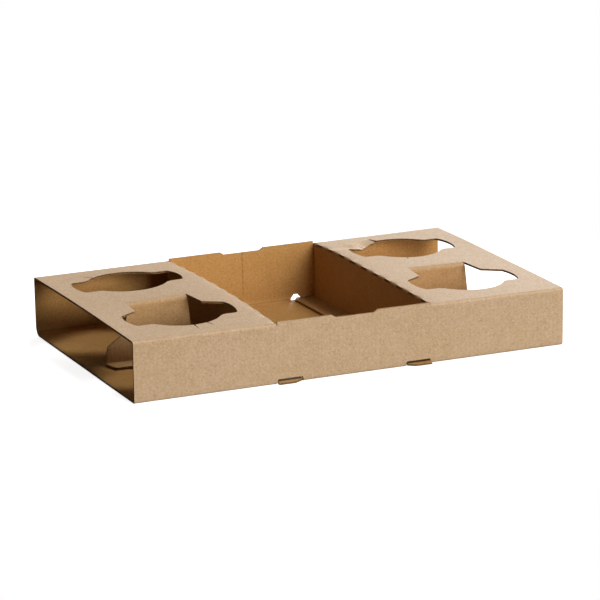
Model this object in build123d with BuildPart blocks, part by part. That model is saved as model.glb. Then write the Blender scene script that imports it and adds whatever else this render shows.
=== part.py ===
"""Cup carrier: one die-cut sheet of corrugated board, folded into a flat sleeve.

The sleeve is open at its left and right ends. Its top is open in the middle, as a well, and has two cup
holes at either side of the well. The walls of the well and the two partitions are cut from the same sheet
and folded down. X runs along the sleeve, Y from front to back, and the origin is under the middle.
"""

import os

from build123d import *

# Sheet
board = 1.5
crease_radius = 0.7
soft_fold_radius = 4.0
cut_width = 0.4
rest_gap = 0.3
side_clearance = 0.5

# Sleeve
tray_height = 45.0
end_margin = 14.5
wall_margin = 19.0
well_margin = 9.3
row_gap = 44.0
front_row_setback = 2.5

# Cup holes
hole_radius = 30.5
ear_length = 11.0
ear_width = 32.0
ear_corner_radius = 2.0
hole_blend_radius = 8.0

# Slits that have opened: column, row, direction in degrees, length
slit_width = 0.5
open_slits = (
    (-1, 1, 128.0, 11.0),
    (-1, -1, 268.0, 11.0),
    (-1, -1, 288.0, 9.0),
    (1, 1, 105.0, 12.0),
    (1, 1, 138.0, 9.0),
    (1, 1, 252.0, 6.0),
)

# Partitions under the front holes
partition_setback = 8.0
neck_half_width = 23.5
neck_base_half_width = 26.0
flare_rise = 5.0
flare_drop = 4.7

# Well
well_length = 122.0
well_foot_length = 18.0
cut_edge_rise = 1.4
tab_slant = 3.0
tab_taper = 3.0
tab_taper_length = 4.5
slot_spare = 3.0
slot_headroom = 0.5
slot_slant = 1.5
throat_length = 9.5
throat_rise = 2.7
throat_slant = 3.0

# Folds and layers
fold_zone = board + crease_radius
bend_radius = crease_radius + board / 2
panel_middle = tray_height - board / 2
foot_bottom = board + rest_gap
foot_middle = foot_bottom + board / 2
foot_top = foot_bottom + board

# Layout of the top, from the middle outwards
well_half = well_length / 2
well_fold_start = well_half + fold_zone
ear_reach = hole_radius + ear_length
column_x = well_fold_start + well_margin + ear_reach
row_y = row_gap / 2 + hole_radius
front_row_y = row_y - front_row_setback
tray_length = 2 * (column_x + ear_reach + end_margin)
tray_width = 2 * (row_y + hole_radius + wall_margin)

# Outline of a cup hole: a round hole with an ear at either side, whose end runs around the hole
with BuildSketch() as ears:
    Circle(ear_reach)
    Rectangle(2 * ear_reach, ear_width, mode=Mode.INTERSECT)
    fillet(ears.vertices(), ear_corner_radius)
with BuildSketch() as cup_hole:
    Circle(hole_radius)
    add(ears.sketch)
    fillet(cup_hole.vertices().group_by(SortBy.DISTANCE)[0], hole_blend_radius)

# Outline of a front hole, which flares into a neck up to the fold that its partition hangs from
neck_base = ear_width / 2 + flare_rise
flare_tip = ear_width / 2 - flare_drop
partition_fold_start = fold_zone - partition_setback
with BuildSketch() as flare:
    with BuildLine():
        Polyline(
            (-ear_reach, 0),
            (-ear_reach, flare_tip),
            (-neck_base_half_width, neck_base),
            (neck_base_half_width, neck_base),
            (ear_reach, flare_tip),
            (ear_reach, 0),
            close=True,
        )
    make_face()
    Circle(ear_reach, mode=Mode.INTERSECT)
    fillet(flare.vertices().group_by(Axis.Y)[1], ear_corner_radius)
with BuildSketch() as front_hole:
    add(cup_hole.sketch)
    Rectangle(2 * ear_reach, ear_reach, align=(Align.CENTER, Align.MAX), mode=Mode.INTERSECT)
    add(flare.sketch)
    with BuildLine():
        Polyline(
            (-neck_base_half_width, neck_base),
            (-neck_half_width, front_row_y + partition_fold_start),
            (neck_half_width, front_row_y + partition_fold_start),
            (neck_base_half_width, neck_base),
            close=True,
        )
    make_face()

# Partition: the board of a front hole, bent down at its fold and forwards along the floor
flap_middle = board / 2 - partition_setback
hole_centre_z = tray_height + partition_setback - front_row_y
neck_base_z = hole_centre_z + neck_base
flare_tip_z = hole_centre_z + flare_tip
foot_centre = tray_height - foot_bottom - front_row_y
foot_tip = foot_centre - hole_radius
with BuildPart() as partition:
    with BuildSketch(Plane.YZ):
        with BuildLine():
            FilletPolyline(
                (partition_fold_start + board, panel_middle),
                (flap_middle, panel_middle),
                (flap_middle, foot_middle),
                (foot_tip, foot_middle),
                radius=bend_radius,
            )
        trace(line_width=board)
    extrude(amount=ear_reach, both=True)
    # The neck and its flare
    with BuildSketch(Plane.XZ):
        with BuildLine():
            Polyline(
                (neck_half_width - cut_width, tray_height),
                (neck_half_width - cut_width, tray_height + board),
                (ear_reach + board, tray_height + board),
                (ear_reach + board, flare_tip_z),
                (ear_reach, flare_tip_z),
                (neck_base_half_width - cut_width, neck_base_z),
                close=True,
            )
        make_face()
        mirror(about=Plane.YZ)
    extrude(amount=tray_width / 2, both=True, mode=Mode.SUBTRACT)
    # The ears' ends, which run around the hole
    with BuildSketch(Plane.XZ):
        with Locations((0, hole_centre_z)):
            Rectangle(2 * (ear_reach + board), neck_base, align=(Align.CENTER, Align.MIN))
            Circle(ear_reach, mode=Mode.SUBTRACT)
    extrude(amount=tray_width / 2, both=True, mode=Mode.SUBTRACT)
    # The front edge of the foot, which was the front edge of the hole
    with BuildSketch():
        with Locations((0, foot_centre)):
            Rectangle(2 * ear_reach, 2 * hole_radius, align=(Align.CENTER, Align.MAX))
            add(cup_hole.sketch, mode=Mode.SUBTRACT)
    extrude(amount=foot_top + crease_radius, mode=Mode.SUBTRACT)

# Right wall of the well, bent down from the top panel and inwards along the floor, with a tab at each end
wall_middle_x = well_half + board / 2
foot_edge = well_half - well_foot_length
tab_reach = board + side_clearance
foot_half_width = tray_width / 2 - tab_reach
with BuildPart() as well_wall:
    with BuildSketch(Plane.XZ):
        with BuildLine():
            FilletPolyline(
                (well_fold_start + board, panel_middle),
                (wall_middle_x, panel_middle),
                (wall_middle_x, foot_middle),
                (foot_edge, foot_middle),
                radius=bend_radius,
            )
        trace(line_width=board)
    extrude(amount=foot_half_width, both=True)
    with BuildSketch(Plane.XY.offset(foot_bottom)):
        with BuildLine():
            Polyline(
                (foot_edge, -tray_width / 2),
                (well_half - tab_slant, -tray_width / 2),
                (well_half - crease_radius, -foot_half_width),
                (well_half - crease_radius, foot_half_width),
                (well_half - tab_slant, tray_width / 2),
                (foot_edge, tray_width / 2),
                close=True,
            )
        make_face()
    extrude(amount=board)
    # The inner side of each tab, which is tapered
    with BuildSketch(Plane.XY.offset(foot_bottom)):
        with BuildLine():
            Polyline(
                (foot_edge, tray_width / 2),
                (foot_edge + tab_taper, tray_width / 2),
                (foot_edge, tray_width / 2 - tab_taper_length),
                close=True,
            )
        make_face()
        mirror(about=Plane.XZ)
    extrude(amount=board, mode=Mode.SUBTRACT)

slot_inner = foot_edge - slot_spare
slot_outer = wall_middle_x
slot_top = foot_top + slot_headroom
throat_end = slot_inner + throat_length
throat_top = slot_top + throat_rise
lip_depth = max(soft_fold_radius, fold_zone)
cut_edge_z = tray_height + cut_edge_rise
notch_floor_z = cut_edge_z - tab_reach
notch_floor_half = well_foot_length - tab_slant
with BuildPart() as cup_carrier:
    # Sleeve, with a softer fold at the lower back
    with BuildSketch(Plane.YZ) as sleeve_section:
        Rectangle(tray_width, tray_height, align=(Align.CENTER, Align.MIN))
        by_softness = sleeve_section.vertices().sort_by_distance((tray_width / 2, 0))
        fillet(by_softness[0], soft_fold_radius)
        by_softness = sleeve_section.vertices().sort_by_distance((tray_width / 2, 0))
        fillet(by_softness[2:], fold_zone)
        with Locations((0, tray_height / 2)):
            RectangleRounded(
                tray_width - 2 * board,
                tray_height - 2 * board,
                crease_radius,
                mode=Mode.SUBTRACT,
            )
    extrude(amount=tray_length / 2, both=True)

    # Slots at the lower folds for the tabs, over the square cut edge of the floor
    with BuildSketch(Plane.XZ):
        with BuildLine():
            Polyline(
                (slot_inner, board),
                (slot_outer, board),
                (slot_outer - slot_slant, slot_top),
                (slot_inner + slot_slant, slot_top),
                close=True,
            )
        make_face()
        mirror(about=Plane.YZ)
    extrude(amount=tray_width / 2, both=True, mode=Mode.SUBTRACT)
    # The slots at the back have a higher throat at the inner end
    with BuildSketch(Plane.XZ):
        with BuildLine():
            Polyline(
                (slot_inner, board),
                (throat_end, board),
                (throat_end, slot_top),
                (throat_end - throat_slant, throat_top),
                (slot_inner + throat_slant, throat_top),
                close=True,
            )
        make_face()
        mirror(about=Plane.YZ)
    extrude(amount=-tray_width / 2, mode=Mode.SUBTRACT)
    with BuildSketch():
        with GridLocations(slot_inner + slot_outer, tray_width - lip_depth, 2, 2):
            Rectangle(slot_outer - slot_inner, lip_depth)
    extrude(amount=board)

    # Open well, with the cut edges of the front and back walls standing a little proud
    with BuildSketch(Plane.XY.offset(tray_height)):
        Rectangle(2 * well_fold_start, 2 * (foot_half_width + cut_width))
        Rectangle(2 * well_half, tray_width)
    extrude(amount=-fold_zone, mode=Mode.SUBTRACT)
    with BuildSketch(Plane.XY.offset(tray_height - fold_zone)):
        with GridLocations(0, tray_width - board, 1, 2):
            Rectangle(2 * (well_half - cut_width), board)
    extrude(amount=fold_zone + cut_edge_rise)
    with BuildSketch(Plane.XZ):
        with BuildLine():
            Polyline(
                (-well_foot_length, cut_edge_z),
                (well_foot_length, cut_edge_z),
                (notch_floor_half, notch_floor_z),
                (-notch_floor_half, notch_floor_z),
                close=True,
            )
        make_face()
    extrude(amount=tray_width / 2, both=True, mode=Mode.SUBTRACT)

    # Cup holes and their open slits
    with BuildSketch(Plane.XY.offset(tray_height)):
        with Locations((-column_x, row_y), (column_x, row_y)):
            add(cup_hole.sketch)
        with Locations((-column_x, -front_row_y), (column_x, -front_row_y)):
            add(front_hole.sketch)
        for column, row, direction, length in open_slits:
            with Locations((column * column_x, row_y if row > 0 else -front_row_y)):
                with PolarLocations(hole_radius, 1, start_angle=direction):
                    Rectangle(2 * length, slit_width)
    extrude(amount=-board, mode=Mode.SUBTRACT)

    # Flaps that are folded down into the sleeve
    add(well_wall.part)
    mirror(well_wall.part, about=Plane.YZ)
    with Locations((-column_x, 0), (column_x, 0)):
        add(partition.part)

cup_carrier.part.label = "cup_carrier"
os.makedirs("parts", exist_ok=True)
export_step(cup_carrier.part, "parts/cup_carrier.step")
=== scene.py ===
"""Cup carrier: the flat sheet of corrugated kraft board, cut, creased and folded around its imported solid.

The sheet is laid out flat first, in metres: u runs along the sleeve and v around it, with v = 0 along the
middle of the top and positive towards the front. Each region of the sheet then has its own fold.
"""

import math
from collections import namedtuple

import bpy
import numpy as np
from bpy.props import FloatProperty, FloatVectorProperty, PointerProperty
from mathutils import Matrix, Vector
from mathutils.geometry import delaunay_2d_cdt


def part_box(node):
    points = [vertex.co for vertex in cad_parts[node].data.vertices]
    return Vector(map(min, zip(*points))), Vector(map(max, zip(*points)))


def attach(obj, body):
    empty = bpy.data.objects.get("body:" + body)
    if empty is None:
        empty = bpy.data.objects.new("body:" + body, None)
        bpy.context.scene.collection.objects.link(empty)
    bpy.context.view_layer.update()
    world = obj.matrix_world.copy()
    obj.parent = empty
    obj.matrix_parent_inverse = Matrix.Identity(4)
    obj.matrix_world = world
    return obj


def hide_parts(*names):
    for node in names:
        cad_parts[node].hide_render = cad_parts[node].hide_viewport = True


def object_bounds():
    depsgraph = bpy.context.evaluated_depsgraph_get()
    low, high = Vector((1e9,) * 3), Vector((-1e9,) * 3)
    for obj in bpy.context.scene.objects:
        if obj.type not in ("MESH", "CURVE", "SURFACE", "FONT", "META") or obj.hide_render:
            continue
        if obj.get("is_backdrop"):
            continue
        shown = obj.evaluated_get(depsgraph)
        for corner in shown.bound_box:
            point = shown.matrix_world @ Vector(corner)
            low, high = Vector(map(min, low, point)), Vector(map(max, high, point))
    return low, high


bl_info = {
    "name": "Cup carrier",
    "version": (1, 0, 0),
    "blender": (4, 5, 0),
    "location": "3D View > Sidebar > Cup carrier",
    "description": "Builds a folded cup carrier of corrugated kraft board, and its stage",
    "category": "Object",
}

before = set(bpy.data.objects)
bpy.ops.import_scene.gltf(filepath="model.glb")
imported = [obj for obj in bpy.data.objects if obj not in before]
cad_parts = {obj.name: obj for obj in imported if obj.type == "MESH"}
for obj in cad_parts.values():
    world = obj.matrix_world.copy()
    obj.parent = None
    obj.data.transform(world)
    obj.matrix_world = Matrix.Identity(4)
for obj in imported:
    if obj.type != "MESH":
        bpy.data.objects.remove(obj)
CAD_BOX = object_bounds()
NODE = "cup_carrier"
LOW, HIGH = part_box(NODE)

# The sleeve
HALF_LENGTH = (HIGH.x - LOW.x) / 2
HALF_WIDTH = (HIGH.y - LOW.y) / 2
CUT_EDGE_TOP = HIGH.z
TRAY_HEIGHT = 0.045

# The cup holes
COLUMN = 0.114
ROW = 0.0525
FRONT_ROW = 0.050
HOLE_RADIUS = 0.0305
EAR_REACH = 0.0415
EAR_HALF = 0.016
EAR_CORNER = 0.002
EAR_BLEND = 0.008
SLIT_MOUTH = 0.0006
# Slits that have opened, by column and row: direction in degrees, length
SLITS = {
    (-1, 1): ((128, 0.011),),
    (-1, -1): ((268, 0.011), (288, 0.009)),
    (1, 1): ((105, 0.012), (138, 0.009), (252, 0.006)),
    (1, -1): (),
}
# The loose teeth of one hole that are pushed down: directions in degrees, and their share of the drop
TOOTH_HOLE = (1, 1)
TOOTH_ANGLES = (105, 105.2, 130, 146, 161)
TOOTH_SHARES = (0, 0.3, 1, 1, 0)
TOOTH_LENGTH = 0.0105

# The partitions
PARTITION_Y = 0.008
NECK_HALF = 0.0235
NECK_BASE_HALF = 0.026
FLARE_RISE = 0.005
FLARE_DROP = 0.0047
FLARE_CORNER = 0.0005
CUT_WIDTH = 0.0004

# The well, and the notches that its tabs leave in the cut edges of the front and back walls
WELL_HALF = 0.061
WELL_FOOT = 0.018
REST_GAP = 0.0003
NOTCH_HALF = 0.018
NOTCH_SLANT = 0.003
CUT_EDGE_DEPTH = 0.006
# Cut and creased lengths take turns along the well's folds. The cuts stand off on the panel and on the flap
PERFORATION = 0.020
PERFORATION_CUT = 0.010
PANEL_STANDOFF = 0.0003
FLAP_STANDOFF = 0.0010
CREASE_INSET = 0.0003

# The tabs of the well's feet
TAB_REACH = 0.002
TAB_SLANT = 0.003
TAB_TAPER = 0.003
TAB_TAPER_LENGTH = 0.0045
# The front tabs stand out further, and sink
TAB_PROUD = 0.0030
TAB_DROOP = 0.0017
TAB_BEND = 0.0060
FRONT_TAPER = 0.0050
FRONT_SHOULDER = 0.0012

# The slots for the tabs, and the edge of the floor in them
SLOT_NEAR = 0.040
SLOT_FAR = 0.06175
SLOT_TOP = 0.0038
SLOT_SLANT = 0.0015
SLOT_CUT = 0.0001
BACK_SLOT_TOP = 0.0034
THROAT_LENGTH = 0.0095
THROAT_RISE = 0.0027
THROAT_SLANT = 0.003
LIP_CUT = 0.0009
BACK_LIP_SHARE = 0.6
# The bed that is cut into the floor under a front tab: its near side, its far side and its depth
LIP_BED = (0.0416, 0.0612, 0.0065)
# Where shade is painted on the paper of a front tab, deep in its slot, from the wall's outer face, and how
# dark
SLOT_SHADE_PLACES = (-0.0045, -0.0035, -0.0004, 0.0003)
SLOT_SHADE_SHARES = (0, 1, 1, 0)

# The set that a carrier takes on in use: the bow at the ends of the panels and at the front of the right one,
# and the shear at the floor and at the left end, as shares of the whole
END_BOW = 0.35
FRONT_BOW = 0.5
FRONT_BOW_END = 0.7
FLOOR_SHEAR = 0.6
LEFT_SHEAR = 0.5
# How far past its fold a foot runs, and over which length the feet of the partitions rise
FOOT_RUN = 0.04
FOOT_LIFT_RUN = 0.0325

# Wear along the folds
WEAR_WIDTH = 0.0028
# The broken score line inside the back wall
SCORE_WIDTH = 0.0009
SCORE_DASH = 0.0045
SCORE_START = -0.1
SCORE_END = -0.133
SCORE_START_FADE = 0.001
SCORE_END_FADE = 0.004
# The part of the walls, around the sheet, below which their creases are darker inside
LOWER_WALL = (0.118, 0.128)

# How finely the sheet is divided
FOLD_STEPS = 6
LINER_STEP = 0.010
END_STEP = 0.012
SEAM_MARKS = 35
FLUTE_STEPS = 6
FLUTE_FOLD_STEPS = 4
FLUTE_STEP = 0.016
FLUTE_FLAP_STEP = 0.010
FOLD_MARGIN = 0.0015
LINER_SHARP = math.radians(40)
FLUTE_SHARP = math.radians(50)
# Places that are nearer than this are one, and slack for rounding
SAME_PLACE = 1e-7
SLACK = 1e-6
# Welding cells to a metre, and a shift that keeps round sizes off their borders
WELD_CELLS = 1e5
WELD_SHIFT = 0.33

# The lamps, by turn from the front and rise in degrees, and the height that they are aimed at
LAMPS = {"high": (85, 66), "front": (14, 18), "side": (60, 8), "rim": (140, 8)}
LAMP_DISTANCE = 6.0
LAMP_SIZE = 2.34
LAMP_AIM = 0.03
# The floor: its glow and where it fades for the camera, and how much light it throws back
FLOOR_HALF = 6.0
FLOOR_DROP = 0.0002
FLOOR_GLOW = 0.88
FLOOR_FADE = (0.25, 0.42)
FLOOR_BOUNCE = 0.1
# The camera, in degrees and metres
CAMERA_TURN = -24.07
CAMERA_RISE = 14.81
CAMERA_ROLL = -0.75
CAMERA_SHIFT_X = 0.00218
CAMERA_SHIFT_Y = 0.02968
CAMERA_DISTANCE = 2.25291
SENSOR_WIDTH = 36.0


class SheetSettings(bpy.types.PropertyGroup):
    """Sizes of the board and of its folds"""

    board: FloatProperty(
        name="Board", description="Thickness of the board", default=0.0015, min=0.0008, unit="LENGTH"
    )
    liner: FloatProperty(
        name="Liner",
        description="Thickness of each flat liner",
        default=0.00028,
        min=0.0001,
        unit="LENGTH",
    )
    medium: FloatProperty(
        name="Fluting",
        description="Thickness of the fluted paper",
        default=0.0002,
        min=0.0001,
        unit="LENGTH",
    )
    pitch: FloatProperty(
        name="Flute pitch",
        description="Distance from flute to flute",
        default=0.0033,
        min=0.001,
        unit="LENGTH",
    )
    crease: FloatProperty(
        name="Crease", description="Radius inside a crease", default=0.0003, min=0.0002, unit="LENGTH"
    )
    soft_fold: FloatProperty(
        name="Soft fold",
        description="Radius outside the lower back fold",
        default=0.0065,
        min=0.002,
        unit="LENGTH",
    )
    partition_fold: FloatProperty(
        name="Partition fold",
        description="Radius outside a partition's fold",
        default=0.0035,
        min=0.002,
        unit="LENGTH",
    )
    left_bow: FloatProperty(
        name="Left bow",
        description="Rise of the left top panel at the well",
        default=0.0030,
        min=0.0,
        unit="LENGTH",
    )
    right_bow: FloatProperty(
        name="Right bow",
        description="Rise of the right top panel at the well",
        default=0.0028,
        min=0.0,
        unit="LENGTH",
    )
    twist: FloatProperty(
        name="Twist",
        description="How far the right end of the top is twisted",
        default=0.0014,
        min=0.0,
        unit="LENGTH",
    )
    tooth_drop: FloatProperty(
        name="Tooth drop",
        description="How far the loose teeth are pushed down",
        default=0.0028,
        min=0.0,
        unit="LENGTH",
    )
    foot_lift: FloatProperty(
        name="Foot lift",
        description="Rise of the partitions' feet at the tip",
        default=0.0012,
        min=0.0,
        unit="LENGTH",
    )


class KraftSettings(bpy.types.PropertyGroup):
    """Colours of the paper"""

    outer: FloatVectorProperty(
        name="Outer liner",
        description="Colour of the outer liner",
        subtype="COLOR",
        default=(0.60, 0.41, 0.24),
    )
    inner: FloatVectorProperty(
        name="Inner liner",
        description="Colour of the inner liner",
        subtype="COLOR",
        default=(0.54, 0.29, 0.094),
    )
    # Painted shade: the tint that multiplies the paper of tucked-in flaps, for the shade and warm bounced
    # light inside
    tuck_shade_tint: FloatVectorProperty(
        name="Painted tuck shade",
        description="How flaps that are tucked in differ",
        subtype="COLOR",
        default=(0.76, 0.60, 0.34),
    )
    edge: FloatVectorProperty(
        name="Cut edge", description="Colour of cut paper", subtype="COLOR", default=(0.40, 0.24, 0.11)
    )
    fluting: FloatVectorProperty(
        name="Fluting",
        description="Colour of the fluted paper",
        subtype="COLOR",
        default=(0.40, 0.245, 0.115),
    )
    fibre: FloatProperty(
        name="Fibre",
        description="Strength of the fibres",
        default=1.0,
        min=0.0,
        max=2.0,
        subtype="FACTOR",
    )


class StageSettings(bpy.types.PropertyGroup):
    """Camera, light and floor"""

    lens: FloatProperty(
        name="Lens", description="Focal length of the camera in millimetres", default=180.54, min=20.0
    )
    high_power: FloatProperty(
        name="High light",
        description="Power of the high lamp at the right",
        default=145.0,
        subtype="POWER",
    )
    front_power: FloatProperty(
        name="Front light", description="Power of the low lamp in front", default=270.0, subtype="POWER"
    )
    side_power: FloatProperty(
        name="Side light",
        description="Power of the low lamp at the right",
        default=99.0,
        subtype="POWER",
    )
    rim_power: FloatProperty(
        name="Rim light", description="Power of the low lamp behind", default=385.0, subtype="POWER"
    )
    sky: FloatProperty(name="Sky", description="Strength of the even light around", default=0.02, min=0.0)
    floor: FloatVectorProperty(
        name="Floor", description="Colour of the floor", subtype="COLOR", default=(0.92, 0.92, 0.92)
    )


def smooth(low, high, value):
    """Rises smoothly from 0 at low to 1 at high."""
    share = np.clip((value - low) / (high - low), 0, 1)
    return share * share * (3 - 2 * share)


def arc(centre, radius, start, end, steps):
    """Points on a circle from one angle in degrees to another, both included."""
    angles = np.radians(np.linspace(start, end, steps + 1))
    return [(centre[0] + radius * math.cos(a), centre[1] + radius * math.sin(a)) for a in angles]


def stations(marks, step):
    """The marks in order, with even steps between them."""
    marks = sorted(marks)
    line = [marks[0]]
    for low, high in zip(marks, marks[1:]):
        count = max(1, math.ceil((high - low) / step - SLACK))
        line.extend(np.linspace(low, high, count + 1)[1:])
    return line


def folded(path, radii, s):
    """Points and normals of a folded section at the distances s along a path with rounded corners."""
    path = np.asarray(path)
    legs = np.diff(path, axis=0)
    lengths = np.linalg.norm(legs, axis=1)
    ways = legs / lengths[:, None]
    marks = np.concatenate([[0], np.cumsum(lengths)])
    leg = np.clip(np.searchsorted(marks, s, side="right") - 1, 0, len(legs) - 1)
    spots = path[leg] + ways[leg] * (s - marks[leg])[:, None]
    along = ways[leg].copy()
    for corner, radius in enumerate(radii, 1):
        near = np.abs(s - marks[corner]) < radius
        turn = ((s[near] - marks[corner]) / radius + 1)[:, None] * math.pi / 4
        before, after = ways[corner - 1], ways[corner]
        centre = path[corner] + radius * (after - before)
        spots[near] = centre + radius * (before * np.sin(turn) - after * np.cos(turn))
        along[near] = before * np.cos(turn) + after * np.sin(turn)
    return spots, np.stack([along[:, 1], -along[:, 0]], axis=1)


def inside(spots, outlines):
    """Which spots lie inside the outlines, where an outline within another is a hole."""
    x, y = spots.T
    found = np.zeros(len(spots), bool)
    for outline in outlines:
        loop = np.asarray(outline)
        for (ax, ay), (bx, by) in zip(loop, np.roll(loop, -1, axis=0)):
            if ay == by:
                continue
            level = (ay > y) != (by > y)
            found[level] ^= x[level] < ax + (y[level] - ay) * (bx - ax) / (by - ay)
    return found


def cut_out(outlines, guides):
    """Triangles that fill the outlines, with edges along the guides."""
    points, edges = [], []
    for line in list(outlines) + list(guides):
        first = len(points)
        points.extend(line)
        edges.extend((k, k + 1) for k in range(first, len(points) - 1))
    first = 0
    for line in outlines:
        edges.append((first + len(line) - 1, first))
        first += len(line)
    found = delaunay_2d_cdt([Vector(p) for p in points], edges, [], 0, SAME_PLACE)
    flat = np.array([tuple(p) for p in found[0]])
    triangles = np.array(found[2])
    triangles = triangles[inside(flat[triangles].mean(axis=1), outlines)]
    used, triangles = np.unique(triangles, return_inverse=True)
    return flat[used], triangles.reshape(-1, 3)


# A region of the sheet: its outlines, how it folds, how far it is tucked in for its painted shade, its fold
# lines, its rows and the axis that they run across, the side they are on, and further lines to divide it
# along
Region = namedtuple("Region", "outlines place tuck lines rows axis side guides")


class Blank:
    """The flat die-cut sheet: its outlines, and how each region folds up."""

    def __init__(self, sheet):
        self.sheet = sheet
        half = sheet.board / 2
        self.bend = sheet.crease + half
        self.soft_bend = sheet.soft_fold - half
        self.wall_y = HALF_WIDTH - half
        self.floor_z = half
        self.top_z = TRAY_HEIGHT - half
        self.foot_z = sheet.board + REST_GAP + half
        # Lines of the sleeve, as distances from the middle of the top
        self.top_fold = self.wall_y
        self.low_fold = self.top_fold + self.top_z - self.floor_z
        self.half_girth = self.low_fold + self.wall_y
        self.wall_start = self.top_fold + self.bend
        # Lines of the flaps
        self.well_fold = WELL_HALF + half
        self.well_start = self.well_fold + self.bend
        self.drop = self.top_z - self.foot_z
        self.foot_fold = self.well_fold - self.drop
        self.foot_tip = self.foot_fold - (self.well_fold - WELL_HALF + WELL_FOOT)
        self.tab_start = self.foot_fold - self.bend
        self.partition_fold = PARTITION_Y - half
        self.partition_bend = sheet.partition_fold - half
        self.partition_start = self.partition_fold - self.partition_bend

    # Outlines

    def hole_half(self, slits):
        """One half of a hole's outline from ear to ear, anticlockwise, with its slits."""
        blend_y = EAR_HALF + EAR_BLEND
        blend_x = math.sqrt((HOLE_RADIUS + EAR_BLEND) ** 2 - blend_y**2)
        meets = math.degrees(math.atan2(blend_y, blend_x))
        quarter = self.ear_end(EAR_HALF, 90, EAR_CORNER)
        quarter += arc((blend_x, blend_y), EAR_BLEND, 270, 180 + meets, 6)
        mouth = math.degrees(SLIT_MOUTH / HOLE_RADIUS)
        polar = [(a, HOLE_RADIUS) for a in np.linspace(meets, 180 - meets, 45)[1:-1]]
        for direction, length in slits:
            polar = [p for p in polar if abs(p[0] - direction) > 1.5 * mouth]
            polar += [(direction - mouth, HOLE_RADIUS), (direction, HOLE_RADIUS + length)]
            polar += [(direction + mouth, HOLE_RADIUS)]
        round_part = [
            (r * math.cos(math.radians(a)), r * math.sin(math.radians(a))) for a, r in sorted(polar)
        ]
        return quarter + round_part + [(-x, y) for x, y in reversed(quarter)]

    def ear_end(self, edge, slope, radius):
        """The end of an ear, around the hole's centre, and its rounded corner.

        The ear's side lies at a distance from the centre, square to a slope in degrees.
        """
        inner = EAR_REACH - radius
        turn = slope - math.degrees(math.acos((edge - radius) / inner))
        corner = (inner * math.cos(math.radians(turn)), inner * math.sin(math.radians(turn)))
        return arc((0, 0), EAR_REACH, 0, turn, 5)[1:] + arc(corner, radius, turn, slope, 5)[1:]

    def flare(self):
        """The back half of a front hole's right ear, up to the neck."""
        run, rise = EAR_REACH - NECK_BASE_HALF, FLARE_RISE + FLARE_DROP
        base = (NECK_BASE_HALF, EAR_HALF + FLARE_RISE)
        edge = (rise * base[0] + run * base[1]) / math.hypot(run, rise)
        return self.ear_end(edge, math.degrees(math.atan2(run, rise)), FLARE_CORNER) + [base]

    def front_half(self, slits):
        """The front half of a hole, from its left ear to its right ear."""
        turned = self.hole_half([(d - 180, length) for d, length in slits if d > 180])
        return [(-x, -y) for x, y in turned]

    def hole(self, column, row):
        """A hole in the top, whose front one reaches back to the fold of its partition."""
        slits = SLITS[column, row]
        if row > 0:
            back = self.hole_half([s for s in slits if s[0] < 180])
        else:
            back_y = FRONT_ROW - self.partition_start
            side = self.flare() + [(NECK_HALF, back_y)]
            back = side + [(x, back_y) for x in reversed(self.partition_marks())]
            back += [(-x, y) for x, y in reversed(side)]
        loop = back + self.front_half(slits)
        row_v = -ROW if row > 0 else FRONT_ROW
        return [(column * COLUMN + x, row_v - y) for x, y in loop]

    def partition_marks(self):
        """Places along a partition's fold where its two sides share a corner."""
        reach = NECK_HALF - CUT_WIDTH
        return list(np.linspace(-reach, reach, 13))

    def partition(self, column):
        """The board of a front hole."""
        shift = FRONT_ROW - self.sheet.board
        loop = [(x, self.partition_start) for x in self.partition_marks()]
        side = [(x - CUT_WIDTH, shift - y) for x, y in reversed(self.flare())]
        loop += side
        loop += [(x, shift - y) for x, y in reversed(self.front_half(()))]
        loop += [(-x, v) for x, v in reversed(side)]
        return [(column * COLUMN + x, v) for x, v in loop]

    def creases(self):
        """The creased lengths of a well's fold, as pairs of v."""
        end = HALF_WIDTH - TAB_REACH - CREASE_INSET
        middles = np.arange(-4.5, 5) * PERFORATION
        cuts = [(m - PERFORATION_CUT / 2, m + PERFORATION_CUT / 2) for m in middles]
        starts = [-end] + [c[1] for c in cuts]
        ends = [c[0] for c in cuts] + [end]
        return list(zip(starts, ends))

    def well_edge(self, reach):
        """The creased side of a well flap or of its panel, whose cut lengths reach to another line."""
        line = []
        for low, high in self.creases():
            if line:
                line += [(reach, line[-1][1]), (reach, low)]
            line += [(self.well_start, v) for v in np.linspace(low, high, 5)]
        return line

    def cut_edge(self, row):
        """The cut edge of the front or back wall along the well, from right to left."""
        top = self.wall_start - (CUT_EDGE_TOP - self.top_z + self.bend)
        side = WELL_HALF - CUT_WIDTH
        notch = NOTCH_HALF - NOTCH_SLANT
        line = [(side, self.wall_start)]
        line += [(x, top) for x in np.linspace(side, NOTCH_HALF, 6)]
        line += [(x, top + TAB_REACH) for x in np.linspace(notch, -notch, 5)]
        line += [(x, top) for x in np.linspace(-NOTCH_HALF, -side, 6)]
        line += [(-side, self.wall_start)]
        return [(x, -row * v) for x, v in line]

    def well_opening(self):
        """The hole that the well leaves in the sleeve."""
        corner = HALF_WIDTH - TAB_REACH + CUT_WIDTH
        end = [(self.well_start, corner), (WELL_HALF, corner), (WELL_HALF, self.wall_start)]
        edge = self.well_edge(WELL_HALF + PANEL_STANDOFF)
        right = [(u, -v) for u, v in reversed(end)] + edge + end
        left = [(-u, v) for u, v in reversed(right)]
        return right + self.cut_edge(-1) + left + self.cut_edge(1)[::-1]

    def well_flap(self, side):
        """The right or left wall of the well, with its foot and tabs."""
        half_width, tip = HALF_WIDTH - TAB_REACH, self.foot_tip
        tab_full = self.foot_fold - (self.well_fold - WELL_HALF) - TAB_SLANT
        edge = [(self.well_fold, half_width), (self.tab_start, half_width)]
        back_tab = [(tab_full, HALF_WIDTH), (tip + TAB_TAPER, HALF_WIDTH)]
        back_tab += [(tip, HALF_WIDTH - TAB_TAPER_LENGTH)]
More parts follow.
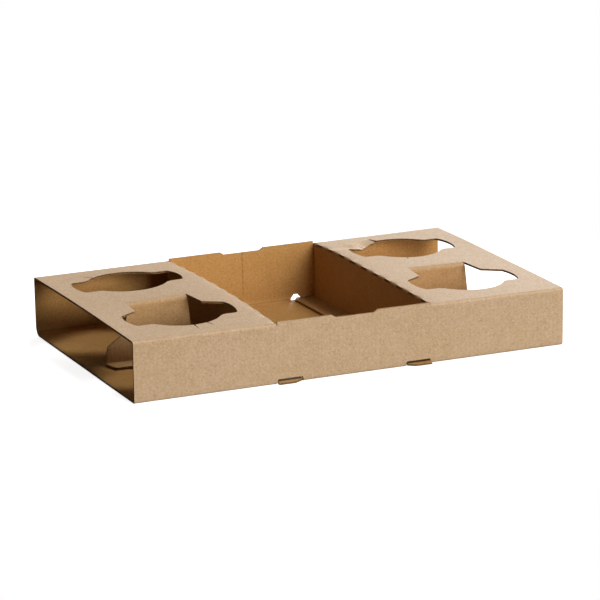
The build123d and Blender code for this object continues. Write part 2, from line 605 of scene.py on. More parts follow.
        # The front tabs fill their slots, and have a shoulder at the inner side
        reach, shoulder = HALF_WIDTH + TAB_PROUD, tip - FRONT_SHOULDER
        front_tab = [(self.tab_start, reach), (tip + FRONT_TAPER, reach)]
        front_tab += [(shoulder, HALF_WIDTH + SLOT_SHADE_PLACES[k]) for k in (-1, 0)]
        front_tab += [(tip, HALF_WIDTH - TAB_BEND)]
        back = [(u, -v) for u, v in reversed(edge + back_tab)]
        loop = edge + front_tab + back + self.well_edge(self.well_fold - FLAP_STANDOFF)
        return [(side * u, v) for u, v in loop]

    def slot(self, side, row):
        """A slot at a lower fold, with a short cut at either end that frees the floor's edge.

        The floor is cut back further under a front tab.
        """
        wall = self.low_fold - (SLOT_TOP - self.floor_z)
        lip, deep = self.low_fold + LIP_CUT, self.low_fold + self.bend
        loop = [(SLOT_NEAR + SLOT_SLANT, wall)]
        if row > 0:
            throat, end = wall - THROAT_RISE, SLOT_NEAR + THROAT_LENGTH
            lip, deep = self.low_fold - self.sheet.board / 2, self.low_fold + self.soft_bend
            # The wall comes down to the tab along the soft fold
            turn = math.acos(1 - (BACK_SLOT_TOP - self.floor_z) / self.soft_bend)
            wall = self.low_fold - self.soft_bend * (4 * turn / math.pi - 1)
            loop = [(SLOT_NEAR + THROAT_SLANT, throat), (end - THROAT_SLANT, throat), (end, wall)]
        cut = [(SLOT_CUT, lip), (SLOT_CUT, deep), (-SLOT_CUT, deep), (-SLOT_CUT, lip)]
        loop += [(SLOT_FAR - SLOT_SLANT, wall)] + [(SLOT_FAR + u, v) for u, v in cut]
        if row < 0:
            near, far, depth = LIP_BED
            bed = self.low_fold + depth
            loop += [(far, lip), (far, bed), (near, bed), (near, lip)]
        loop += [(SLOT_NEAR + u, v) for u, v in cut]
        return [(side * u, -row * v) for u, v in loop]

    def sleeve(self):
        """The outlines of the sleeve."""
        marks = self.end_marks()
        ends = self.sleeve_stations(FOLD_STEPS, END_STEP)
        outer = [(u, -self.half_girth) for u in marks[:-1]]
        outer += [(HALF_LENGTH, v) for v in ends[:-1]]
        outer += [(u, self.half_girth) for u in marks[:0:-1]]
        outer += [(-HALF_LENGTH, v) for v in ends[:0:-1]]
        holes = [self.hole(column, row) for column, row in SLITS]
        slots = [self.slot(side, row) for side in (-1, 1) for row in (-1, 1)]
        return [outer, self.well_opening()] + holes + slots

    # Where the sheet is divided

    def end_marks(self):
        """Places along the sleeve that its glued seam shares."""
        return list(np.linspace(-HALF_LENGTH, HALF_LENGTH, SEAM_MARKS))

    def fold_rows(self, line, bend, segments):
        """Rows across a fold, and one at either side of it."""
        rows = [line + bend * k for k in np.linspace(-1, 1, segments + 1)]
        return [line - bend - FOLD_MARGIN] + rows + [line + bend + FOLD_MARGIN]

    def sleeve_stations(self, segments, step):
        """Rows around the sleeve, from the seam to the seam."""
        marks = {-self.half_girth, self.half_girth, 0.0}
        for line, bend in (
            (self.top_fold, self.bend),
            (-self.top_fold, self.bend),
            (self.low_fold, self.bend),
            (-self.low_fold, self.soft_bend),
        ):
            marks.update(self.fold_rows(line, bend, segments))
        return stations(marks, step)

    def well_stations(self, segments, step):
        """Rows along a well flap, from its foot to its fold."""
        marks = {self.foot_tip, self.well_start, self.well_fold - self.bend - FOLD_MARGIN}
        marks.update(self.fold_rows(self.well_fold, self.bend, segments)[1:-1])
        marks.update(self.fold_rows(self.foot_fold, self.bend, segments))
        return stations(marks, step)

    def partition_stations(self, segments, step):
        """Rows along a partition, from its fold to the tip of its foot."""
        tip = FRONT_ROW - self.sheet.board + HOLE_RADIUS
        marks = {self.partition_start, tip}
        marks.update(self.fold_rows(self.partition_fold, self.partition_bend, segments)[1:])
        marks.update(self.fold_rows(self.partition_fold + self.drop, self.bend, segments))
        return stations(marks, step)

    def liner_lines(self, region, low, high):
        """Lines that divide a region for the liners. Shared folds have their corners already."""
        rows = region.rows(FOLD_STEPS, LINER_STEP)
        rows = [region.side * row for row in rows if abs(row - self.partition_start) > SAME_PLACE]
        if region.axis == 0:
            columns = self.sleeve_stations(FOLD_STEPS, LINER_STEP)
            return [[(u, v) for v in columns if low[1] < v < high[1]] for u in rows]
        columns = stations((low[0], high[0]), LINER_STEP)
        return [[(u, v) for u in columns] for v in rows]

    def flute_lines(self, region, low, high):
        """Lines that divide a region along the flutes, a few to a flute."""
        step = self.sheet.pitch / FLUTE_STEPS
        us = np.arange(math.ceil(low[0] / step), math.floor(high[0] / step) + 1) * step
        us = us[(us > low[0] + step / 4) & (us < high[0] - step / 4)]
        if region.axis == 1:
            vs = [row for row in region.rows(FLUTE_FOLD_STEPS, FLUTE_STEP) if low[1] <= row <= high[1]]
        else:
            rows = region.rows(FLUTE_FOLD_STEPS, FLUTE_FLAP_STEP)
            rows = [row for row in rows if row < self.well_start - SAME_PLACE]
            folds = [region.side * row for row in rows if abs(row - self.well_fold) <= self.bend]
            us = np.unique(np.round(np.concatenate([us, folds]), 7))
            vs = stations((low[1], high[1]), FLUTE_STEP)
        return [[(u, v) for v in vs] for u in us]

    # Folds

    def place_sleeve(self, flat):
        """Folds the sleeve. The cut edges at the well and the floor's edges at the slots stay straight."""
        u, v = flat.T
        back, front = self.wall_y, -self.wall_y
        path = [(0, self.floor_z), (back, self.floor_z), (back, self.top_z)]
        path += [(front, self.top_z), (front, self.floor_z), (0, self.floor_z)]
        radii = [self.soft_bend, self.bend, self.bend, self.bend]
        section, normal = folded(path, radii, v + self.half_girth)
        out = -np.sign(v)
        wall = (np.abs(u) < WELL_HALF - CUT_WIDTH / 2) & (np.abs(v) < self.wall_start)
        wall &= np.abs(v) > self.wall_start - CUT_EDGE_DEPTH
        section[wall] = np.stack([out * self.wall_y, self.top_z - np.abs(v) + self.top_fold], 1)[wall]
        normal[wall] = np.stack([out, out * 0], 1)[wall]
        lip = (np.abs(u) > SLOT_NEAR) & (np.abs(u) < SLOT_FAR)
        back_lip = self.low_fold - self.sheet.board * BACK_LIP_SHARE
        lip &= np.abs(v) > np.where(v < 0, back_lip, self.low_fold + LIP_CUT / 2)
        section[lip] = np.stack([out * (self.half_girth - np.abs(v)), out * 0 + self.floor_z], 1)[lip]
        normal[lip] = (0, -1)
        spots = np.column_stack([u, section])
        spots[:, 2] -= self.tooth(u, v)
        return spots, np.column_stack([u * 0, normal])

    def tooth(self, u, v):
        """How far each point of the loose teeth is pushed down."""
        x = u - TOOTH_HOLE[0] * COLUMN
        y = -v - TOOTH_HOLE[1] * ROW
        reach = np.hypot(x, y)
        angle = np.degrees(np.arctan2(y, x))
        share = np.interp(angle, TOOTH_ANGLES, TOOTH_SHARES, 0, 0)
        depth = np.minimum(reach - HOLE_RADIUS, y - EAR_HALF)
        bent = np.clip(1 - depth / TOOTH_LENGTH, 0, 1) ** 1.3
        return share * bent * self.sheet.tooth_drop

    def tooth_lines(self):
        """Lines around the hole along which the loose teeth bend."""
        centre = (TOOTH_HOLE[0] * COLUMN, TOOTH_HOLE[1] * ROW)
        reaches = HOLE_RADIUS + TOOTH_LENGTH * np.array([0.2, 0.4, 0.6, 0.8, 1.0])
        lines = [arc(centre, reach, TOOTH_ANGLES[1], TOOTH_ANGLES[-1], 12) for reach in reaches]
        return [[(u, -y) for u, y in line] for line in lines]

    def place_well_flap(self, flat):
        """Folds a wall of the well down, and its foot inwards."""
        u, v = flat.T
        side = np.sign(u)
        path = [(self.well_start, self.top_z), (self.well_fold, self.top_z)]
        path += [(self.well_fold, self.foot_z), (self.well_fold - FOOT_RUN, self.foot_z)]
        section, normal = folded(path, [self.bend, self.bend], self.well_start - np.abs(u))
        spots = np.column_stack([side * section[:, 0], -v, section[:, 1]])
        # The front tabs sink where the floor's edge ends
        foot = np.clip((self.tab_start - np.abs(u)) / TAB_SLANT, 0, 1)
        free = np.clip((v - HALF_WIDTH + TAB_REACH) / TAB_REACH, 0, 1)
        past = np.clip((v - HALF_WIDTH + TAB_BEND) / (TAB_BEND + TAB_PROUD), 0, 1)
        spots[:, 2] -= TAB_DROOP * np.maximum(foot, free) * past
        return spots, np.column_stack([side * normal[:, 0], v * 0, normal[:, 1]])

    def place_partition(self, flat):
        """Folds a partition down, and its foot forwards."""
        u, v = flat.T
        back, fold = -self.partition_start, -self.partition_fold
        path = [(back, self.top_z), (fold, self.top_z)]
        path += [(fold, self.foot_z), (fold - FOOT_RUN, self.foot_z)]
        section, normal = folded(path, [self.partition_bend, self.bend], v - self.partition_start)
        foot = v - self.partition_fold - self.drop
        section[:, 1] += self.sheet.foot_lift * np.clip(foot / FOOT_LIFT_RUN, 0, 1) ** 1.5
        return np.column_stack([u, section]), np.column_stack([u * 0, normal])

    def settle(self, spots):
        """The set of a carrier in use: its top panels rise towards the well, and its top twists."""
        x, y, z = spots.T
        back = y / HALF_WIDTH
        across = np.clip(1 - back**2, 0, 1)
        near_well = smooth(HALF_LENGTH, WELL_HALF, np.abs(x))
        to_back = smooth(0, FRONT_BOW_END, back)
        right_bow = self.sheet.right_bow * (FRONT_BOW + (1 - FRONT_BOW) * to_back)
        bow = np.where(x < 0, self.sheet.left_bow, right_bow)
        rise = bow * across * (END_BOW + (1 - END_BOW) * near_well)
        height = np.clip(z / TRAY_HEIGHT, 0, 1)
        right = (x / HALF_LENGTH + 1) / 2
        shear = (FLOOR_SHEAR + (1 - FLOOR_SHEAR) * height) * (LEFT_SHEAR + (1 - LEFT_SHEAR) * right)
        spots[:, 0] -= self.sheet.twist * shear * (back + 1) / 2
        spots[:, 2] += (rise + self.sheet.twist * right * back) * height
        return spots

    def wear(self, flat, lines):
        """How near each point is to a fold, from 1 on the fold to 0 beside it."""
        near = np.zeros(len(flat))
        for axis, line in lines:
            near = np.maximum(near, 1 - np.abs(np.abs(flat[:, axis]) - line) / WEAR_WIDTH)
        return near

    def tuck_sleeve(self, flat):
        """No part of the sleeve is tucked in."""
        return np.zeros(len(flat))

    def tuck_well_flap(self, flat):
        """How far each point is past a well flap's first fold, from 0 before it to 1 past it, which sets the
        shade painted on the flap.

        It goes on to 2 where deep shade is painted on a front tab in its slot.
        """
        # Painted deep shade on a front tab in its slot
        slot_shade = np.interp(flat[:, 1] - HALF_WIDTH, SLOT_SHADE_PLACES, SLOT_SHADE_SHARES, 0, 0)
        slot_shade[np.abs(flat[:, 0]) > self.tab_start + SLACK] = 0
        return smooth(0, 2 * self.bend, self.well_start - np.abs(flat[:, 0])) + slot_shade

    def tab_lines(self, side):
        """Lines across a front tab, where it starts to sink and where shade is painted on it deep in its
        slot.
        """
        ends = (self.foot_tip - FRONT_SHOULDER, self.tab_start)
        places = (-TAB_BEND,) + SLOT_SHADE_PLACES
        return [[(side * u, HALF_WIDTH + place) for u in ends] for place in places]

    def tuck_partition(self, flat):
        """How far each point is past a partition's first fold. It sees more light than the well's walls."""
        return 0.75 * smooth(0, 2 * self.partition_bend, flat[:, 1] - self.partition_start)

    def regions(self):
        """The sleeve, and the well flap and the partition at either side."""
        lines = ((1, self.top_fold), (1, self.low_fold))
        guides = self.tooth_lines()
        yield Region(
            self.sleeve(), self.place_sleeve, self.tuck_sleeve, lines, self.sleeve_stations, 1, 1, guides
        )
        for side in (-1, 1):
            outlines = [self.well_flap(side)]
            lines = ((0, self.foot_fold),)
            yield Region(
                outlines,
                self.place_well_flap,
                self.tuck_well_flap,
                lines,
                self.well_stations,
                0,
                side,
                self.tab_lines(side),
            )
            outlines = [self.partition(side)]
            lines = ((1, self.partition_fold + self.drop),)
            yield Region(
                outlines, self.place_partition, self.tuck_partition, lines, self.partition_stations, 1, 1, []
            )


def folded_board(blank, divide):
    """The middle of the folded board, with each region divided along lines.

    Returns the places, normals, flat places, wear and tuck (which sets painted shade) of its corners, and its
    triangles.
    """
    parts, total = [], 0
    for region in blank.regions():
        loop = np.array(region.outlines[0])
        guides = divide(region, loop.min(axis=0), loop.max(axis=0)) + region.guides
        flat, found = cut_out(region.outlines, guides)
        wear, tuck = blank.wear(flat, region.lines), region.tuck(flat)
        parts.append((*region.place(flat), flat, wear, tuck, found + total))
        total += len(flat)
    return tuple(np.concatenate(part) for part in zip(*parts))


def weld(spots, triangles):
    """Makes corners that share a place one corner.

    Returns the first corner at each place, the triangles, and which of them are still whole.
    """
    keys = np.round(spots * WELD_CELLS + WELD_SHIFT).astype(np.int64)
    _, first, index = np.unique(keys, axis=0, return_index=True, return_inverse=True)
    welded = index.reshape(-1)[triangles]
    whole = (welded != np.roll(welded, 1, axis=1)).all(axis=1)
    return first, welded[whole], whole


def facing_out(spots, normals, triangles):
    """Turns each triangle so that it faces along its corners' normals."""
    a, b, c = (spots[triangles[:, k]] for k in range(3))
    facing = np.einsum("ij,ij->i", np.cross(b - a, c - a), normals[triangles].sum(axis=1))
    return np.where((facing < 0)[:, None], triangles[:, ::-1], triangles)


def free_edges(triangles):
    """The edges that only one triangle has, in that triangle's direction."""
    edges = np.concatenate([triangles[:, [0, 1]], triangles[:, [1, 2]], triangles[:, [2, 0]]])
    _, index, count = np.unique(np.sort(edges, axis=1), axis=0, return_inverse=True, return_counts=True)
    return edges[count[index.reshape(-1)] == 1]


def add_object(name, mesh, materials):
    """Links a mesh as an object at the origin, with its materials."""
    for material in materials:
        mesh.materials.append(material)
    piece = bpy.data.objects.new(name, mesh)
    bpy.context.scene.collection.objects.link(piece)
    return piece


def dress(piece):
    """Puts a finished piece on the root body, and hides the part of the model that it stands for."""
    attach(piece, "root")
    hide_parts(NODE)


class Wire:
    """A socket that takes part in sums. Each operator adds one Math node."""

    def __init__(self, graph, socket):
        self.graph = graph
        self.socket = socket

    def math(self, operation, *values):
        return self.graph.add("ShaderNodeMath", {"operation": operation}, dict(enumerate(values)))

    def __add__(self, other):
        return self.math("ADD", self, other)

    __radd__ = __add__

    def __sub__(self, other):
        return self.math("SUBTRACT", self, other)

    def __rsub__(self, other):
        return self.math("SUBTRACT", other, self)

    def __mul__(self, other):
        return self.math("MULTIPLY", self, other)

    __rmul__ = __mul__

    def __truediv__(self, other):
        return self.math("DIVIDE", self, other)

    def between(self, low, high):
        """Rises smoothly from 0 at low to 1 at high."""
        sockets = {"Value": self, "From Min": low, "From Max": high}
        return self.graph.add("ShaderNodeMapRange", {"interpolation_type": "SMOOTHSTEP"}, sockets)


class Graph:
    """A node tree that is written as expressions."""

    def __init__(self, tree):
        self.tree = tree
        tree.nodes.clear()

    def add(self, kind, settings=None, sockets=None, output=0):
        """Adds a node with its settings, then its socket values or links, and gives one output."""
        node = self.tree.nodes.new(kind)
        for name, value in (settings or {}).items():
            setattr(node, name, value)
        for key, value in (sockets or {}).items():
            if isinstance(value, Wire):
                self.tree.links.new(value.socket, node.inputs[key])
            else:
                node.inputs[key].default_value = value
        return Wire(self, node.outputs[output]) if node.outputs else node

    def mix(self, factor, first, second, blend="MIX"):
        """Mixes two colours."""
        settings = {"data_type": "RGBA", "blend_type": blend}
        return self.add("ShaderNodeMix", settings, {0: factor, 6: first, 7: second}, 2)

    def noise(self, place, scale, detail=2.0, roughness=0.5):
        """A noise from 0 to 1 at a place."""
        sockets = {"Vector": place, "Scale": scale, "Detail": detail, "Roughness": roughness}
        return self.add("ShaderNodeTexNoise", {"noise_dimensions": "3D"}, sockets)

    def moved(self, place, location=(0, 0, 0), turn=0.0, scale=(1, 1, 1)):
        """A place moved, turned and stretched for one pattern."""
        sockets = {"Vector": place, "Location": location, "Rotation": (0, 0, turn), "Scale": scale}
        return self.add("ShaderNodeMapping", None, sockets)


def colour4(colour, factor=1.0):
    """A colour with alpha, made lighter or darker."""
    return (*(min(1.0, c * factor) for c in colour), 1.0)


def tinted(colour, red, green, blue):
    """A colour with alpha, with each part made lighter or darker."""
    return (*(min(1.0, c * k) for c, k in zip(colour, (red, green, blue))), 1.0)


def new_material(name):
    """A new material, and its empty graph."""
    material = bpy.data.materials.new(name)
    material.use_nodes = True
    return material, Graph(material.node_tree)


def finish_paper(graph, paper, roughness, bump, gloss):
    """Ends a paper's graph in its surface."""
    sockets = {"Base Color": paper, "Roughness": roughness, "Normal": bump, "Specular IOR Level": gloss}
    surface = graph.add("ShaderNodeBsdfPrincipled", None, sockets)
    graph.add("ShaderNodeOutputMaterial", None, {"Surface": surface})


def kraft_paper(name, colour, tuck_shade_tint, kraft, seed, pitch, gloss, scored):
    """Uncoated kraft paper: mottled pulp, grain, dark shives, faint flute lines, paler folds, and painted
    shade on tucked-in flaps and deep in the front slots.
    """
    material, graph = new_material(name)
    flat = graph.add("ShaderNodeUVMap", {"uv_map": "blank"})
    place = graph.moved(flat, (seed, seed * 0.7, seed * 1.3))
    fold = graph.add("ShaderNodeAttribute", {"attribute_name": "fold"}, None, 2)
    # Pulp: broad tints, clouds and salt-and-pepper grain
    tint = graph.noise(place, 14.0, 3.0)
    clouds = graph.noise(place, 110.0, 3.0, 0.6)
    grain = graph.noise(place, 780.0, 2.0, 0.75)
    dull, bright = tinted(colour, 0.97, 0.97, 0.97), tinted(colour, 1.02, 1.04, 1.1)
    paper = graph.mix(tint.between(0.3, 0.7), dull, bright)
    paper = graph.mix(clouds.between(0.25, 0.75) * 0.22, paper, tinted(colour, 0.75, 0.66, 0.50))
    paper = graph.mix(grain.between(0.5, 0.72) * 0.46 * kraft.fibre, paper, tinted(colour, 0.6, 0.52, 0.40))
    paper = graph.mix(grain.between(0.5, 0.28) * 0.42 * kraft.fibre, paper, tinted(colour, 1.3, 1.4, 1.65))
    # Shives: short dark bits of wood, lying every way
    shives = None
    for turn, stretch, scale in ((0.35, 0.45, 900.0), (1.45, 0.4, 780.0), (2.6, 0.5, 840.0)):
        shive = graph.noise(graph.moved(place, (turn, turn, 0), turn, (stretch, 1, 1)), scale, 1.0)
        shive = shive.between(0.68, 0.76)
        shives = shive if shives is None else shives.math("MAXIMUM", shives, shive)
    paper = graph.mix(shives * 0.32 * kraft.fibre, paper, tinted(colour, 0.45, 0.36, 0.28))
    # Flute lines that show through
    across = graph.add("ShaderNodeSeparateXYZ", None, {0: flat})
    around = graph.add("ShaderNodeSeparateXYZ", None, {0: flat}, 1)
    turns = across * (2 * math.pi / pitch)
    wave = turns.math("SINE", turns)
    paper = graph.mix((wave + 1.0) * 0.03, paper, tinted(colour, 0.7, 0.64, 0.55))
    # Folds, where the paper is stretched and scuffed
    scuff = graph.noise(place, 330.0, 2.0).between(0.35, 0.65)
    worn = fold.between(0.55, 1.0) * (0.03 + scuff * 0.12)
    paper = graph.mix(worn, paper, tinted(colour, 1.3, 1.38, 1.5))
    # Painted shade: flaps that are tucked in take a deeper, darker colour for the shade and warm bounced
    # light inside them. Front tabs get painted deep shade in their slots
    tucked = graph.add("ShaderNodeAttribute", {"attribute_name": "tucked"}, None, 2)
    paper = graph.mix(tucked, paper, (*tuck_shade_tint, 1.0), "MULTIPLY")
    # Painted deep shade on the front tabs in their slots
    paper = graph.mix((tucked - 1.0) * 0.92, paper, tinted(colour, 0.06, 0.04, 0.03))
    relief = grain * 0.6 + clouds * 0.25 + wave * 0.18 - shives * 0.25
    if scored:
        # A broken score line down the middle of the back wall
        beats = around * (2 * math.pi / SCORE_DASH)
        dashes = beats.math("SINE", beats)
        score = across.math("ABSOLUTE", across).between(SCORE_WIDTH, SCORE_WIDTH * 0.3)
        score = score * around.between(SCORE_END - SCORE_END_FADE, SCORE_END)
        score = score * around.between(SCORE_START, SCORE_START - SCORE_START_FADE)
        score = score * (0.55 + dashes.between(-0.6, 0.4) * 0.45)
        paper = graph.mix(score * 0.55, paper, tinted(colour, 0.6, 0.46, 0.28))
        relief = relief - score * 1.5
        # Creases are darker on the inside of the lower folds
        crease = fold.between(0.6, 1.0) * around.math("ABSOLUTE", around).between(*LOWER_WALL)
        paper = graph.mix(crease * 0.5, paper, tinted(colour, 0.45, 0.38, 0.3))
    bump = graph.add("ShaderNodeBump", None, {"Strength": 0.25, "Distance": 0.0003, "Height": relief})
    finish_paper(graph, paper, 0.6 + grain * 0.12, bump, gloss)
    return material


def raw_paper(name, colour, layer_scale):
    """Cut or inner paper: darker and fuzzy, with fine streaks."""
    material, graph = new_material(name)
    place = graph.add("ShaderNodeTexCoord", None, None, 3)
    fuzz = graph.noise(place, 1400.0, 2.0, 0.7)
    streak = graph.noise(graph.moved(place, scale=(1, 1, layer_scale)), 350.0, 2.0)
    paper = graph.mix(fuzz.between(0.3, 0.7), colour4(colour, 0.75), colour4(colour, 1.2))
    paper = graph.mix(streak.between(0.4, 0.7) * 0.5, paper, tinted(colour, 0.6, 0.52, 0.42))
    bump = graph.add("ShaderNodeBump", None, {"Strength": 0.3, "Distance": 0.0002, "Height": fuzz})
    finish_paper(graph, paper, 0.86 + fuzz * 0.1, bump, 0.05)
    return material


class CARRIER_OT_liners(bpy.types.Operator):
    """Builds the two flat liners of the folded board"""

    bl_idname = "carrier.liners"
    bl_label = "Liners"

    def execute(self, context):
        sheet, kraft = context.scene.carrier_sheet, context.scene.carrier_kraft
        blank = Blank(sheet)
        spots, normals, flats, wears, tucks, corners = folded_board(blank, blank.liner_lines)
        first, triangles, whole = weld(spots, corners)
        corners = corners[whole]
        spots, normals, wears, tucks = spots[first], normals[first], wears[first], tucks[first]
        triangles_out = facing_out(spots, normals, triangles)
        flipped = (triangles_out != triangles).any(axis=1)
        flat_corners = np.where(flipped[:, None], corners[:, ::-1], corners)
        rims = free_edges(triangles_out)
        half, liner = sheet.board / 2, sheet.liner
        places, faces, kinds, uvs = [], [], [], []
        flat_of = np.zeros((len(spots), 2))
        flat_of[triangles_out.ravel()] = flats[flat_corners.ravel()]
        count = len(spots)
        for kind, (outer, inner) in enumerate(((half, half - liner), (liner - half, -half))):
            base = 2 * kind * count
            for offset in (outer, inner):
                places.append(blank.settle(spots + normals * offset))
            faces += (triangles_out + base).tolist()
            faces += (triangles_out[:, ::-1] + base + count).tolist()
            faces += [(b + base, a + base, a + base + count, b + base + count) for a, b in rims]
            kinds += [kind] * (2 * len(triangles_out)) + [2] * len(rims)
            uvs.append(flats[flat_corners].reshape(-1, 2))
            uvs.append(flats[flat_corners[:, ::-1]].reshape(-1, 2))
            uvs.append(flat_of[rims[:, [1, 0, 0, 1]]].reshape(-1, 2))
        mesh = bpy.data.meshes.new("carrier_liners")
        mesh.from_pydata(np.concatenate(places).tolist(), [], faces)
        mesh.polygons.foreach_set("material_index", kinds)
        layer = mesh.uv_layers.new(name="blank")
        layer.data.foreach_set("uv", np.concatenate(uvs).ravel())
        fold = mesh.attributes.new("fold", "FLOAT", "POINT")
        fold.data.foreach_set("value", np.tile(wears.clip(0, 1), 4))
        tucked = mesh.attributes.new("tucked", "FLOAT", "POINT")
        tucked.data.foreach_set("value", np.tile(tucks, 4))
        mesh.polygons.foreach_set("use_smooth", [True] * len(faces))
        mesh.set_sharp_from_angle(angle=LINER_SHARP)
        mesh.validate()
        if not faces:
            raise RuntimeError("The liners have no faces")
        shared = {"kraft": kraft, "pitch": sheet.pitch}
        materials = [
            kraft_paper("kraft_outer", kraft.outer, kraft.tuck_shade_tint, seed=3.1, gloss=0.2, scored=False, **shared),
            kraft_paper("kraft_inner", kraft.inner, (1, 1, 1), seed=7.7, gloss=0.06, scored=True, **shared),
            raw_paper("kraft_cut_edge", kraft.edge, layer_scale=4.0),
        ]
        dress(add_object("carrier_liners", mesh, materials))
        return {"FINISHED"}


def fluting_tree(material):
    """Waves a flat sheet along its stored normals and gives it its thickness."""
    tree = bpy.data.node_groups.new("fluting", "GeometryNodeTree")
    tree.interface.new_socket("Geometry", in_out="OUTPUT", socket_type="NodeSocketGeometry")
    for name, kind in (
        ("Geometry", "NodeSocketGeometry"),
        ("Pitch", "NodeSocketFloat"),
        ("Height", "NodeSocketFloat"),
        ("Thickness", "NodeSocketFloat"),
    ):
        tree.interface.new_socket(name, in_out="INPUT", socket_type=kind)
    graph = Graph(tree)
    inputs = tree.nodes.new("NodeGroupInput")
    sheet, pitch, height, thickness = (Wire(graph, inputs.outputs[k]) for k in range(4))
    across, normal = (
        graph.add("GeometryNodeInputNamedAttribute", {"data_type": kind}, {"Name": name})
        for name, kind in (("across", "FLOAT"), ("board_normal", "FLOAT_VECTOR"))
    )
    turn = across * (2 * math.pi) / pitch
    lift = turn.math("SINE", turn) * height * 0.5 - thickness * 0.5
    scale = {"operation": "SCALE"}
    offset = graph.add("ShaderNodeVectorMath", scale, {0: normal, "Scale": lift})
    waved = graph.add("GeometryNodeSetPosition", None, {"Geometry": sheet, "Offset": offset})
    thick = graph.add("ShaderNodeVectorMath", scale, {0: normal, "Scale": thickness})
    sockets = {"Mesh": waved, "Offset": thick, "Offset Scale": 1.0, "Individual": False}
    upper = graph.add("GeometryNodeExtrudeMesh", {"mode": "FACES"}, sockets)
    lower = graph.add("GeometryNodeFlipFaces", None, {"Mesh": waved})
    join = tree.nodes.new("GeometryNodeJoinGeometry")
    for part in (upper, lower):
        tree.links.new(part.socket, join.inputs[0])
    both = Wire(graph, join.outputs[0])
    whole = graph.add("GeometryNodeMergeByDistance", None, {"Geometry": both, "Distance": SLACK})
    whole = graph.add("GeometryNodeRealizeInstances", None, {"Geometry": whole})
    whole = graph.add("GeometryNodeSetMaterial", None, {"Geometry": whole, "Material": material})
    graph.add("NodeGroupOutput", None, {0: whole})
    return tree


class CARRIER_OT_fluting(bpy.types.Operator):
    """Builds the fluted paper between the liners"""

    bl_idname = "carrier.fluting"
    bl_label = "Fluting"

    def execute(self, context):
        sheet, kraft = context.scene.carrier_sheet, context.scene.carrier_kraft
        blank = Blank(sheet)
        spots, normals, flats, _, _, triangles = folded_board(blank, blank.flute_lines)
        triangles = facing_out(spots, normals, triangles)
        first, welded, _ = weld(spots, triangles)
        mesh = bpy.data.meshes.new("fluting_flat")
        mesh.from_pydata(blank.settle(spots[first].copy()).tolist(), [], welded.tolist())
        across = mesh.attributes.new("across", "FLOAT", "POINT")
        across.data.foreach_set("value", flats[first, 0])
        stored = mesh.attributes.new("board_normal", "FLOAT_VECTOR", "POINT")
        stored.data.foreach_set("vector", normals[first].ravel())
        material = raw_paper("kraft_fluting", kraft.fluting, layer_scale=1.0)
        flat_piece = add_object("fluting_flat", mesh, [])
        tree = fluting_tree(material)
        waves = flat_piece.modifiers.new("fluting", "NODES")
        waves.node_group = tree
        values = {
            "Pitch": sheet.pitch,
            "Height": sheet.board - 2 * sheet.liner - sheet.medium,
            "Thickness": sheet.medium,
        }
        for item in tree.interface.items_tree:
            if item.in_out == "INPUT" and item.name in values:
                waves[item.identifier] = values[item.name]
        graph = context.evaluated_depsgraph_get()
        made = bpy.data.meshes.new_from_object(flat_piece.evaluated_get(graph))
        flat_piece.modifiers.remove(waves)
        bpy.data.objects.remove(flat_piece)
        if len(made.polygons) == 0:
            raise RuntimeError("The fluting has no faces")
        made.name = "carrier_fluting"
        made.polygons.foreach_set("use_smooth", [True] * len(made.polygons))
        made.set_sharp_from_angle(angle=FLUTE_SHARP)
        dress(add_object("carrier_fluting", made, []))
        return {"FINISHED"}


def direction(turn, rise):
    """The way to a place at a turn from the front and a rise, both in degrees."""
    turn, rise = math.radians(turn), math.radians(rise)
    return Vector((math.sin(turn) * math.cos(rise), -math.cos(turn) * math.cos(rise), math.sin(rise)))


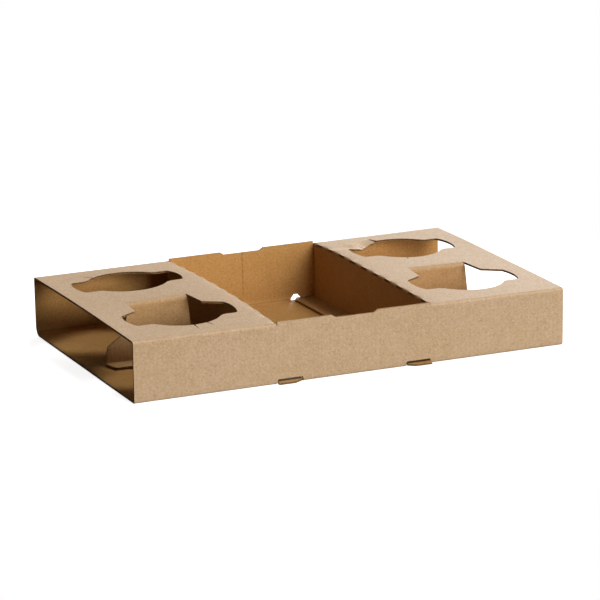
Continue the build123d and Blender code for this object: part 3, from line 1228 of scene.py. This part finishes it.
class CARRIER_OT_stage(bpy.types.Operator):
    """Sets the floor, the light and the camera"""

    bl_idname = "carrier.stage"
    bl_label = "Stage"

    def execute(self, context):
        stage = context.scene.carrier_stage
        context.scene.view_settings.view_transform = "Standard"
        self.set_floor(context, stage)
        self.set_sky(context, stage)
        for name, (turn, rise) in LAMPS.items():
            self.add_lamp(context, name + "_light", turn, rise, getattr(stage, name + "_power"))
        self.set_camera(context, stage)
        return {"FINISHED"}

    def set_floor(self, context, stage):
        """Adds a pale floor that ends softly in the white around it."""
        mesh = bpy.data.meshes.new("floor")
        corners = [(x * FLOOR_HALF, y * FLOOR_HALF, 0) for x, y in ((-1, -1), (1, -1), (1, 1), (-1, 1))]
        mesh.from_pydata(corners, [], [(0, 1, 2, 3)])
        material, graph = new_material("pale_floor")
        seen = self.seen_directly(graph)
        pale = graph.add("ShaderNodeBsdfDiffuse", None, {"Color": colour4(stage.floor)})
        dim = graph.add("ShaderNodeBsdfDiffuse", None, {"Color": colour4((1, 1, 1), FLOOR_BOUNCE)})
        glow = graph.add("ShaderNodeEmission", None, {"Color": (1, 1, 1, 1), "Strength": FLOOR_GLOW})
        lit = graph.add("ShaderNodeAddShader", None, {0: pale, 1: glow})
        both = graph.add("ShaderNodeMixShader", None, {0: seen, 1: dim, 2: lit})
        place = graph.add("ShaderNodeTexCoord", None, None, 3)
        reach = graph.add("ShaderNodeVectorMath", {"operation": "LENGTH"}, {0: place}, 1)
        clear = graph.add("ShaderNodeBsdfTransparent")
        faded = graph.add("ShaderNodeMixShader", None, {0: reach.between(*FLOOR_FADE), 1: both, 2: clear})
        graph.add("ShaderNodeOutputMaterial", None, {"Surface": faded})
        floor = add_object("floor", mesh, [material])
        floor.location.z = -FLOOR_DROP
        floor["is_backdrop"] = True

    def seen_directly(self, graph):
        """1 where the camera sees a surface itself, or in gloss or glass."""
        path = graph.tree.nodes.new("ShaderNodeLightPath")
        rays = ("Is Camera Ray", "Is Glossy Ray", "Is Transmission Ray")
        camera, glossy, through = (Wire(graph, path.outputs[name]) for name in rays)
        return camera.math("MAXIMUM", camera, glossy.math("MAXIMUM", glossy, through))

    def set_sky(self, context, stage):
        """Sets a dim, even light around, which the camera sees as white."""
        world = bpy.data.worlds.new("studio")
        world.use_nodes = True
        context.scene.world = world
        graph = Graph(world.node_tree)
        seen = self.seen_directly(graph)
        soft = graph.add("ShaderNodeBackground", None, {"Color": (1, 1, 1, 1), "Strength": stage.sky})
        white = graph.add("ShaderNodeBackground", None, {"Color": (1, 1, 1, 1), "Strength": 1.0})
        both = graph.add("ShaderNodeMixShader", None, {0: seen, 1: soft, 2: white})
        graph.add("ShaderNodeOutputWorld", None, {"Surface": both})

    def add_lamp(self, context, name, turn, rise, power):
        """Adds a soft square lamp at a turn from the front and a rise, both in degrees."""
        lamp = bpy.data.lights.new(name, "AREA")
        lamp.size = LAMP_SIZE
        lamp.energy = power
        thing = bpy.data.objects.new(name, lamp)
        place = direction(turn, rise) * LAMP_DISTANCE
        aim = Vector((0, 0, LAMP_AIM)) - place
        thing.matrix_world = Matrix.Translation(place) @ aim.to_track_quat("-Z", "Y").to_matrix().to_4x4()
        context.scene.collection.objects.link(thing)

    def set_camera(self, context, stage):
        """Adds a camera that looks from the left and a little above."""
        turn, roll = math.radians(CAMERA_TURN), math.radians(CAMERA_ROLL)
        back = direction(CAMERA_TURN, CAMERA_RISE)
        right = Vector((math.cos(turn), math.sin(turn), 0))
        up = back.cross(right)
        right, up = (
            math.cos(roll) * right + math.sin(roll) * up,
            math.cos(roll) * up - math.sin(roll) * right,
        )
        camera = bpy.data.cameras.new("photo_camera")
        camera.lens = stage.lens
        camera.sensor_width = SENSOR_WIDTH
        camera.sensor_fit = "HORIZONTAL"
        thing = bpy.data.objects.new("photo_camera", camera)
        place = right * CAMERA_SHIFT_X + up * CAMERA_SHIFT_Y + back * CAMERA_DISTANCE
        thing.matrix_world = Matrix.Translation(place) @ Matrix((right, up, back)).transposed().to_4x4()
        context.scene.collection.objects.link(thing)
        context.scene.camera = thing


class CARRIER_PT_panel(bpy.types.Panel):
    """Lists the sizes, the colours and the steps"""

    bl_label = "Cup carrier"
    bl_idname = "CARRIER_PT_panel"
    bl_space_type = "VIEW_3D"
    bl_region_type = "UI"
    bl_category = "Cup carrier"

    def draw(self, context):
        scene = context.scene
        for group in (scene.carrier_sheet, scene.carrier_kraft, scene.carrier_stage):
            box = self.layout.box()
            for name in group.__annotations__:
                box.prop(group, name)
        for step in STEPS:
            self.layout.operator(step.bl_idname)


GROUPS = {"carrier_sheet": SheetSettings, "carrier_kraft": KraftSettings, "carrier_stage": StageSettings}
STEPS = (CARRIER_OT_liners, CARRIER_OT_fluting, CARRIER_OT_stage)


def register():
    for group in (*GROUPS.values(), *STEPS, CARRIER_PT_panel):
        bpy.utils.register_class(group)
    for name, group in GROUPS.items():
        setattr(bpy.types.Scene, name, PointerProperty(type=group))


def unregister():
    for name in GROUPS:
        delattr(bpy.types.Scene, name)
    for group in reversed((*GROUPS.values(), *STEPS, CARRIER_PT_panel)):
        bpy.utils.unregister_class(group)


def main():
    register()
    bpy.ops.carrier.liners()
    bpy.ops.carrier.fluting()
    bpy.ops.carrier.stage()
    boxes = {"cad": CAD_BOX, "visual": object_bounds()}
    plain = {name: [[float(c) for c in corner] for corner in box] for name, box in boxes.items()}


if __name__ == "__main__":
    main()
